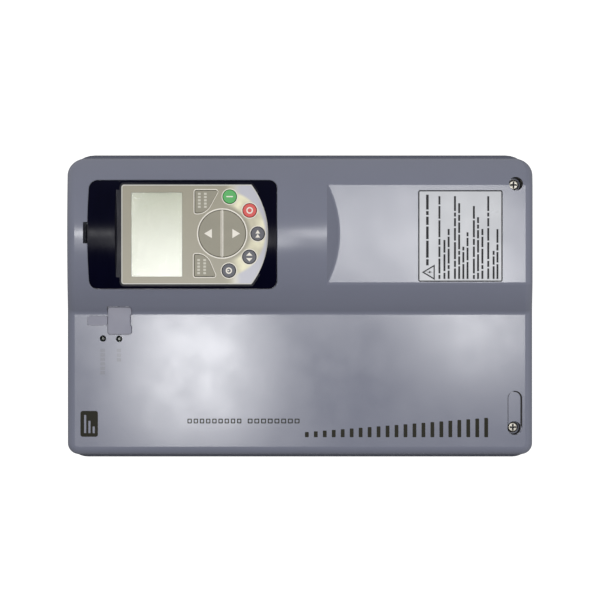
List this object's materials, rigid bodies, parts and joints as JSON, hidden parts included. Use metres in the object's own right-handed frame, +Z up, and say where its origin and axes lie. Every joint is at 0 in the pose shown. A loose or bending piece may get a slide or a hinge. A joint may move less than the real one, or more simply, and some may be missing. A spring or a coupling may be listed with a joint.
{
  "type": "variable frequency drive",
  "caption": "Wall-mounted variable frequency drive with an arched lift-off cover, removable keypad with display and keys, finned heatsink and plug-out fan tray.",
  "frame": {"origin": "centre of the four wall mounting holes, on the wall plane", "axes": "+Z up along the height, +X to the right seen from the front, +Y into the wall, so the front faces -Y"},
  "size_m": [0.19, 0.227, 0.32],
  "materials": {
    "cover_plastic": "fine moulded texture, satin",
    "cap_plastic": "satin",
    "keypad_plastic": "high gloss",
    "keypad_back_plastic": "matte",
    "overlay_film": "semi-gloss printed film",
    "display_glass": "clear",
    "display_cell": "satin",
    "key_rubber": "satin",
    "key_green": "satin",
    "key_red": "satin",
    "key_dark": "satin",
    "housing_plastic": "fine moulded texture",
    "rack_plastic": "matte",
    "grommet_rubber": "matte",
    "galvanised": "galvanised sheet",
    "sink_aluminium": "extruded, sawn ends",
    "zinc_screw": "zinc plated",
    "fan_plastic": "matte",
    "board_green": "solder mask",
    "board_blue": "solder mask",
    "module_plastic": "matte",
    "capacitor_sleeve": "shrink sleeve",
    "core_steel": "varnished laminations",
    "ferrite": "sintered",
    "copper_winding": "enamelled wire",
    "relay_plastic": "gloss",
    "sensor_plastic": "matte",
    "terminal_plastic": "matte",
    "terminal_green": "matte",
    "brass": "plain",
    "chip_plastic": "matte",
    "connector_plastic": "matte",
    "connector_shell": "nickel plated",
    "lamp_clear": "clear"
  },
  "bodies": {
    "root": {"main_housing": "housing_plastic", "cable_plate": "galvanised", "cable_grommets": "grommet_rubber", "duct_shell": "galvanised", "heatsink": "sink_aluminium", "mounting_brackets": "galvanised", "bracket_screws": "zinc_screw", "power_module": "module_plastic", "power_board": "board_green", "standoffs": "brass", "board_screws": "zinc_screw", "dc_link_capacitors": "capacitor_sleeve", "dc_choke_core": "core_steel", "dc_choke_coil": "copper_winding", "transformer_core": "ferrite", "transformer_winding": "copper_winding", "relay_block": "relay_plastic", "current_sensors": "sensor_plastic", "power_terminal_block": "terminal_plastic", "terminal_screws": "zinc_screw", "earth_bar": "brass", "earth_screws": "zinc_screw", "control_rack": "rack_plastic", "control_board": "board_green", "control_terminals": "terminal_green", "control_chips": "chip_plastic", "accessory_connectors": "connector_plastic", "memory_module": "relay_plastic", "board_link_header": "connector_plastic", "usb_socket": "connector_shell", "keypad_socket": "connector_plastic", "status_leds": "lamp_clear", "light_pipes": "lamp_clear"},
    "front_cover": {"front_cover": "cover_plastic", "usb_cap_strap": "cap_plastic"},
    "usb_cap": {"usb_cap": "cap_plastic"},
    "cover_screw_left": {"cover_screw_left": "zinc_screw"},
    "cover_screw_right": {"cover_screw_right": "zinc_screw"},
    "keypad": {"keypad_front_shell": "keypad_plastic", "keypad_back_shell": "keypad_back_plastic", "keypad_overlay": "overlay_film", "display_window": "display_glass", "display_module": "display_cell", "keypad_board": "board_blue", "keypad_plug": "connector_plastic"},
    "keypad_latch": {"keypad_latch": "keypad_plastic"},
    "fan_tray": {"fan_tray": "galvanised", "fan_frames": "fan_plastic", "fan_screws": "zinc_screw"},
    "fan_rotor_left": {"fan_rotor_left": "fan_plastic"},
    "fan_rotor_right": {"fan_rotor_right": "fan_plastic"},
    "key_start": {"key_start": "key_green"},
    "key_stop": {"key_stop": "key_red"},
    "key_jog": {"key_jog": "key_dark"},
    "key_direction": {"key_direction": "key_dark"},
    "key_local_remote": {"key_local_remote": "key_dark"},
    "key_up": {"key_up": "key_rubber"},
    "key_down": {"key_down": "key_rubber"},
    "key_soft_left": {"key_soft_left": "key_rubber"},
    "key_soft_right": {"key_soft_right": "key_rubber"}
  },
  "joints": [
    {"name": "cover_lift", "type": "slide", "parent": "root", "child": "front_cover", "axis": [0, -1, 0], "range_m": [0, 0.1]},
    {"name": "cap_swing", "type": "hinge", "parent": "front_cover", "child": "usb_cap", "pos_m": [-0.0088, -0.2066, 0.1169], "axis": [-1, 0, 0], "range_deg": [0, 85]},
    {"name": "screw_turn_left", "type": "hinge", "parent": "front_cover", "child": "cover_screw_left", "pos_m": [-0.074, -0.198, -0.1302], "axis": [0, -1, 0], "continuous": true},
    {"name": "screw_turn_right", "type": "hinge", "parent": "front_cover", "child": "cover_screw_right", "pos_m": [0.0735, -0.2, -0.1293], "axis": [0, -1, 0], "continuous": true},
    {"name": "keypad_pull", "type": "slide", "parent": "front_cover", "child": "keypad", "axis": [0, -1, 0], "range_m": [0, 0.03]},
    {"name": "latch_press", "type": "slide", "parent": "keypad", "child": "keypad_latch", "axis": [0, 0, -1], "range_m": [0, 0.0015], "stiffness_N_per_m": 800},
    {"name": "fan_tray_draw", "type": "slide", "parent": "root", "child": "fan_tray", "axis": [0, 0, -1], "range_m": [0, 0.05]},
    {"name": "rotor_spin_left", "type": "hinge", "parent": "fan_tray", "child": "fan_rotor_left", "pos_m": [-0.032, -0.037, -0.118], "axis": [0, 0, 1], "continuous": true},
    {"name": "rotor_spin_right", "type": "hinge", "parent": "fan_tray", "child": "fan_rotor_right", "pos_m": [0.032, -0.037, -0.118], "axis": [0, 0, 1], "continuous": true},
    {"name": "press_start", "type": "slide", "parent": "keypad", "child": "key_start", "axis": [0, 1, 0], "range_m": [0, 0.0005], "stiffness_N_per_m": 600},
    {"name": "press_stop", "type": "slide", "parent": "keypad", "child": "key_stop", "axis": [0, 1, 0], "range_m": [0, 0.0005], "stiffness_N_per_m": 600},
    {"name": "press_jog", "type": "slide", "parent": "keypad", "child": "key_jog", "axis": [0, 1, 0], "range_m": [0, 0.0005], "stiffness_N_per_m": 600},
    {"name": "press_direction", "type": "slide", "parent": "keypad", "child": "key_direction", "axis": [0, 1, 0], "range_m": [0, 0.0005], "stiffness_N_per_m": 600},
    {"name": "press_local_remote", "type": "slide", "parent": "keypad", "child": "key_local_remote", "axis": [0, 1, 0], "range_m": [0, 0.0005], "stiffness_N_per_m": 600},
    {"name": "press_up", "type": "slide", "parent": "keypad", "child": "key_up", "axis": [0, 1, 0], "range_m": [0, 0.0005], "stiffness_N_per_m": 600},
    {"name": "press_down", "type": "slide", "parent": "keypad", "child": "key_down", "axis": [0, 1, 0], "range_m": [0, 0.0005], "stiffness_N_per_m": 600},
    {"name": "press_soft_left", "type": "slide", "parent": "keypad", "child": "key_soft_left", "axis": [0, 1, 0], "range_m": [0, 0.0005], "stiffness_N_per_m": 600},
    {"name": "press_soft_right", "type": "slide", "parent": "keypad", "child": "key_soft_right", "axis": [0, 1, 0], "range_m": [0, 0.0005], "stiffness_N_per_m": 600}
  ]
}
